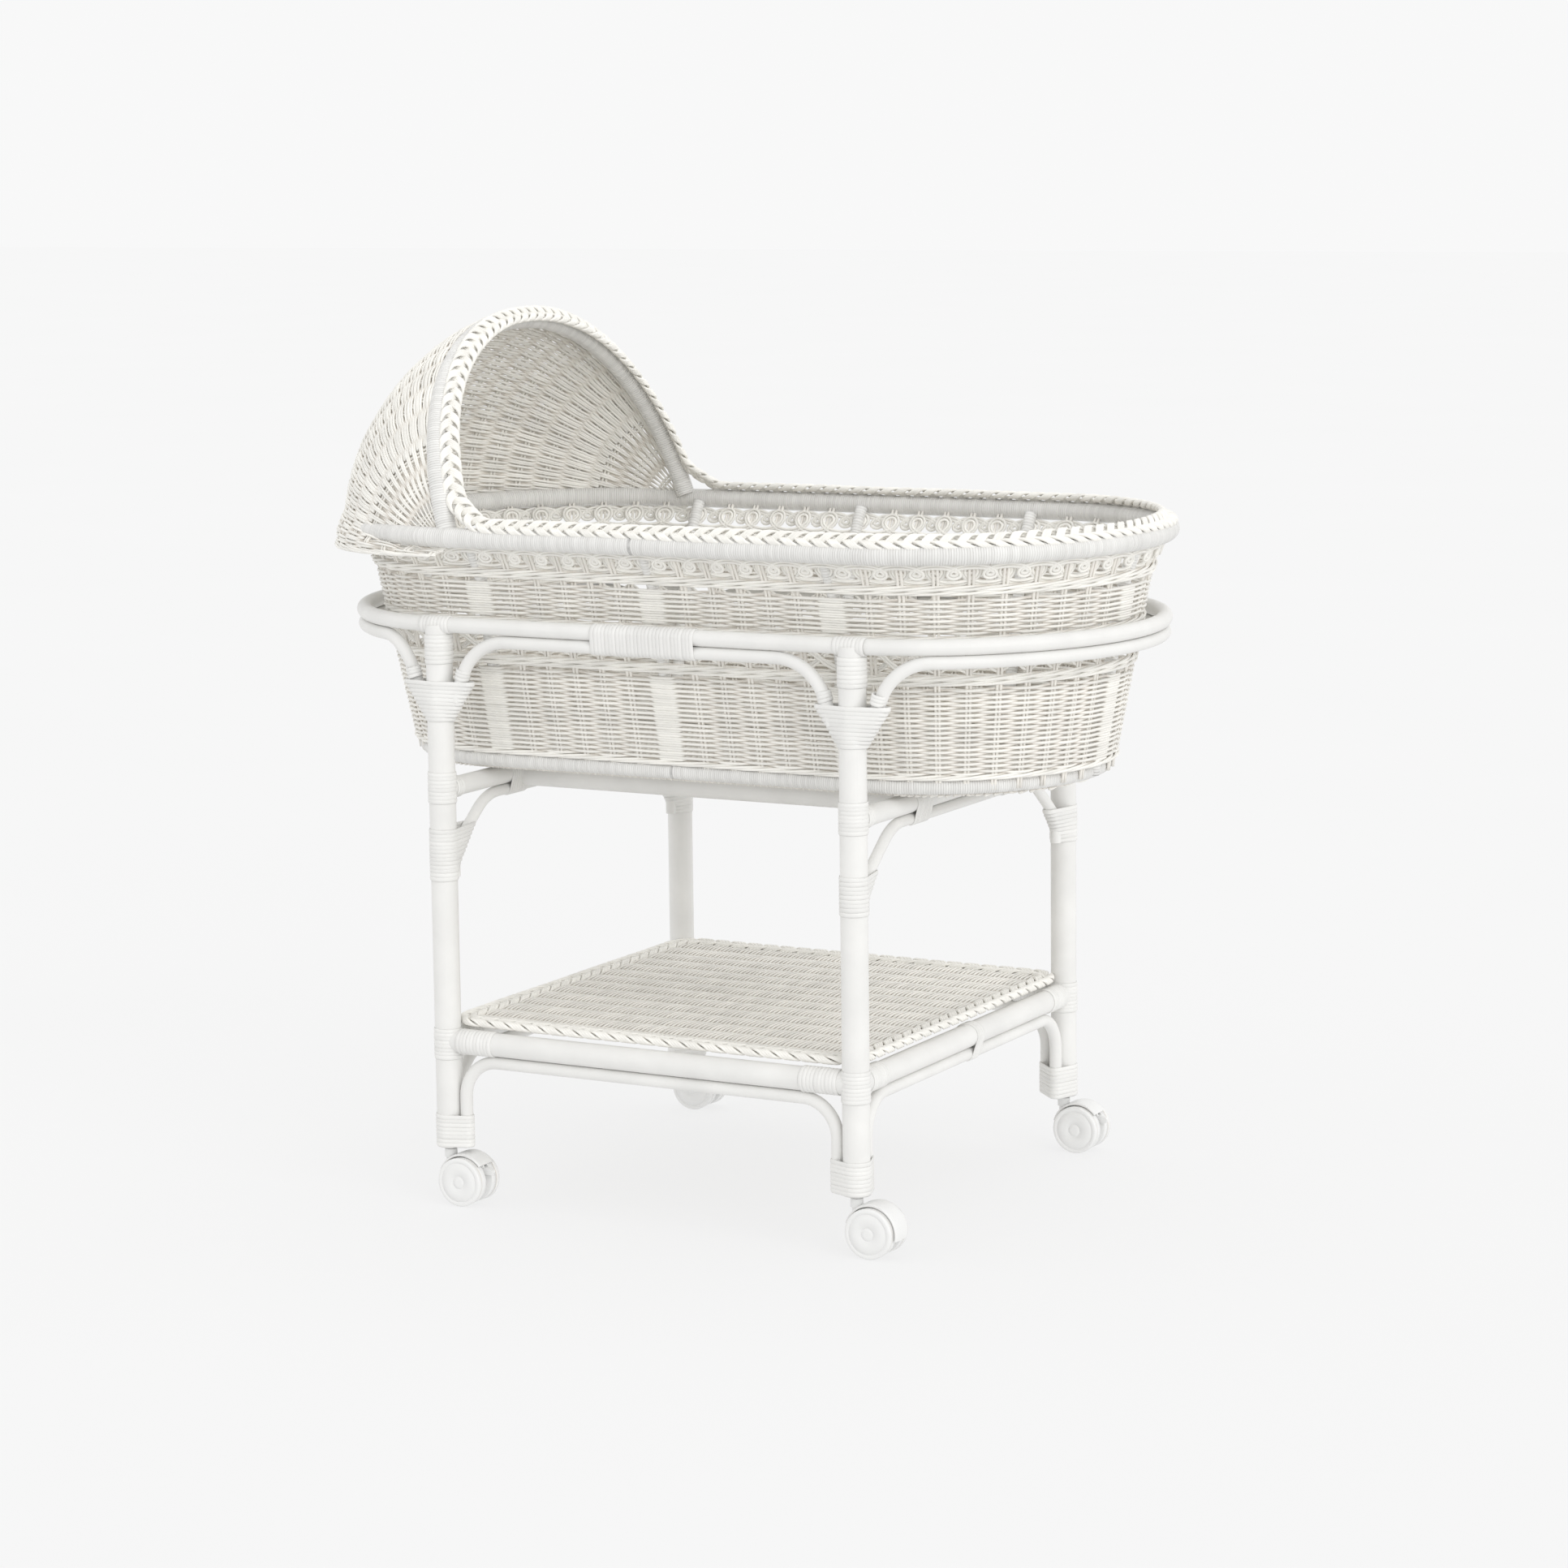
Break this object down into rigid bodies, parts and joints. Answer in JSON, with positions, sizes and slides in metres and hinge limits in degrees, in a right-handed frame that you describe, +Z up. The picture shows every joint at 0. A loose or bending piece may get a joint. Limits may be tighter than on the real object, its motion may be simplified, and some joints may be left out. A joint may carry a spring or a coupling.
{
  "type": "wicker bassinet on stand",
  "caption": "White wicker bassinet with a fixed woven hood, on a four-legged rattan stand with a lower shelf and four swivelling twin-wheel casters.",
  "frame": {"origin": "on the floor, under the middle of the stand and basket", "axes": "+X along the basket from the hooded head end to the foot end, +Y across the basket to the back, +Z up"},
  "size_m": [0.8938, 0.5226, 0.9003],
  "materials": {
    "pole": "satin",
    "wicker": "satin",
    "cane": "satin",
    "wheel_plastic": "gloss",
    "housing_plastic": "gloss",
    "steel": "brushed"
  },
  "bodies": {
    "stand": {"arch_foot_bindings": "cane", "caster_sockets": "housing_plastic", "caster_stems": "steel", "cradle_rails": "pole", "foot_bindings": "cane", "leg_back_foot": "pole", "leg_back_head": "pole", "leg_front_foot": "pole", "leg_front_head": "pole", "rail_arch_ties": "cane", "rail_joint_bindings": "cane", "ring_arch_back": "pole", "ring_arch_foot": "pole", "ring_arch_front": "pole", "ring_arch_head": "pole", "ring_cap_bindings": "cane", "shelf_arch_back": "pole", "shelf_arch_foot": "pole", "shelf_arch_front": "pole", "shelf_arch_head": "pole", "shelf_deck": "wicker", "shelf_edge_braid": "wicker", "shelf_joint_bindings": "cane", "shelf_rail_back": "pole", "shelf_rail_foot": "pole", "shelf_rail_front": "pole", "shelf_rail_head": "pole", "side_arches": "pole", "side_rail_foot": "pole", "side_rail_head": "pole", "top_ring": "pole", "web_bindings": "cane"},
    "basket": {"base_ring": "wicker", "basket_floor": "wicker", "basket_wall": "wicker", "hood_braid": "wicker", "hood_pole": "pole", "hood_skin": "wicker", "rim_braid": "wicker", "rim_pole": "pole", "wall_posts": "wicker"},
    "brake_lever_back_foot": {"brake_lever_back_foot": "housing_plastic"},
    "brake_lever_front_head": {"brake_lever_front_head": "housing_plastic"},
    "caster_back_foot": {"caster_axle_back_foot": "steel", "caster_housing_back_foot": "housing_plastic"},
    "caster_back_head": {"caster_axle_back_head": "steel", "caster_housing_back_head": "housing_plastic"},
    "caster_front_foot": {"caster_axle_front_foot": "steel", "caster_housing_front_foot": "housing_plastic"},
    "caster_front_head": {"caster_axle_front_head": "steel", "caster_housing_front_head": "housing_plastic"},
    "wheel_back_foot_left": {"wheel_back_foot_left": "wheel_plastic"},
    "wheel_back_foot_right": {"wheel_back_foot_right": "wheel_plastic"},
    "wheel_back_head_left": {"wheel_back_head_left": "wheel_plastic"},
    "wheel_back_head_right": {"wheel_back_head_right": "wheel_plastic"},
    "wheel_front_foot_left": {"wheel_front_foot_left": "wheel_plastic"},
    "wheel_front_foot_right": {"wheel_front_foot_right": "wheel_plastic"},
    "wheel_front_head_left": {"wheel_front_head_left": "wheel_plastic"},
    "wheel_front_head_right": {"wheel_front_head_right": "wheel_plastic"}
  },
  "joints": [
    {"name": "basket_lift", "type": "slide", "parent": "stand", "child": "basket", "axis": [0, 0, 1], "range_m": [0, 0.2]},
    {"name": "swivel_front_head", "type": "hinge", "parent": "stand", "child": "caster_front_head", "pos_m": [-0.234, -0.239, 0.05], "axis": [0, 0, 1], "continuous": true},
    {"name": "spin_front_head_left", "type": "hinge", "parent": "caster_front_head", "child": "wheel_front_head_left", "pos_m": [-0.213, -0.239, 0.025], "axis": [0, 1, 0], "continuous": true},
    {"name": "spin_front_head_right", "type": "hinge", "parent": "caster_front_head", "child": "wheel_front_head_right", "pos_m": [-0.213, -0.239, 0.025], "axis": [0, 1, 0], "continuous": true},
    {"name": "brake_front_head", "type": "hinge", "parent": "caster_front_head", "child": "brake_lever_front_head", "pos_m": [-0.2, -0.239, 0.037], "axis": [0, 1, 0], "range_deg": [0, 18]},
    {"name": "swivel_back_head", "type": "hinge", "parent": "stand", "child": "caster_back_head", "pos_m": [-0.234, 0.239, 0.05], "axis": [0, 0, 1], "continuous": true},
    {"name": "spin_back_head_left", "type": "hinge", "parent": "caster_back_head", "child": "wheel_back_head_left", "pos_m": [-0.213, 0.239, 0.025], "axis": [0, 1, 0], "continuous": true},
    {"name": "spin_back_head_right", "type": "hinge", "parent": "caster_back_head", "child": "wheel_back_head_right", "pos_m": [-0.213, 0.239, 0.025], "axis": [0, 1, 0], "continuous": true},
    {"name": "swivel_front_foot", "type": "hinge", "parent": "stand", "child": "caster_front_foot", "pos_m": [0.234, -0.239, 0.05], "axis": [0, 0, 1], "continuous": true},
    {"name": "spin_front_foot_left", "type": "hinge", "parent": "caster_front_foot", "child": "wheel_front_foot_left", "pos_m": [0.255, -0.239, 0.025], "axis": [0, 1, 0], "continuous": true},
    {"name": "spin_front_foot_right", "type": "hinge", "parent": "caster_front_foot", "child": "wheel_front_foot_right", "pos_m": [0.255, -0.239, 0.025], "axis": [0, 1, 0], "continuous": true},
    {"name": "swivel_back_foot", "type": "hinge", "parent": "stand", "child": "caster_back_foot", "pos_m": [0.234, 0.239, 0.05], "axis": [0, 0, 1], "continuous": true},
    {"name": "spin_back_foot_left", "type": "hinge", "parent": "caster_back_foot", "child": "wheel_back_foot_left", "pos_m": [0.255, 0.239, 0.025], "axis": [0, 1, 0], "continuous": true},
    {"name": "spin_back_foot_right", "type": "hinge", "parent": "caster_back_foot", "child": "wheel_back_foot_right", "pos_m": [0.255, 0.239, 0.025], "axis": [0, 1, 0], "continuous": true},
    {"name": "brake_back_foot", "type": "hinge", "parent": "caster_back_foot", "child": "brake_lever_back_foot", "pos_m": [0.268, 0.239, 0.037], "axis": [0, 1, 0], "range_deg": [0, 18]}
  ]
}
